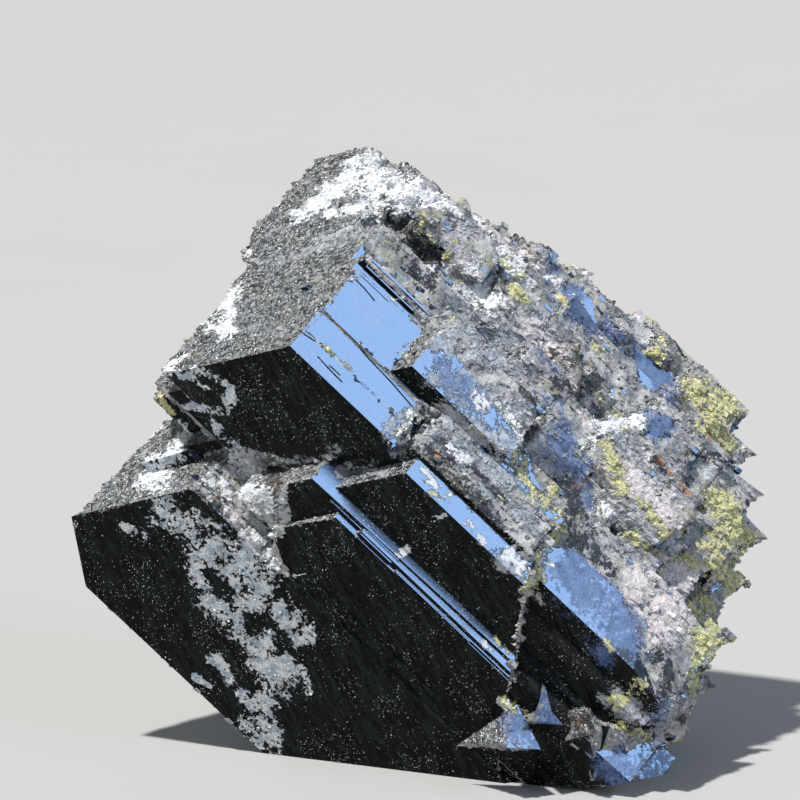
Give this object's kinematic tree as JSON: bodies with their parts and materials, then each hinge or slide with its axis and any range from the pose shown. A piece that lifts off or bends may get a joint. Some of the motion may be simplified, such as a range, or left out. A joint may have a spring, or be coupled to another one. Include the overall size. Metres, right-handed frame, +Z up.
{
  "type": "epidote crystal specimen",
  "caption": "Blocky black-green epidote crystals grown together in parallel, with striated glassy faces, rough end faces and pale crust, standing on a flat break.",
  "frame": {"origin": "middle of the specimen's box at the level of the flat break that it stands on", "axes": "+Z up, -Y towards the viewer who sees the leading crystal's corner, +X to that viewer's right"},
  "size_m": [0.046, 0.0282, 0.0389],
  "materials": {
    "epidote": "glassy black-green crystal faces, striated, with granular end faces and broken surfaces",
    "pale_crust": "powdery white to blue-grey crust in ragged patches",
    "green_crust": "crumbly yellow-green crust along a seam and on the right-hand side"
  },
  "bodies": {
    "root": {"epidote_cluster": "epidote"}
  },
  "joints": []
}
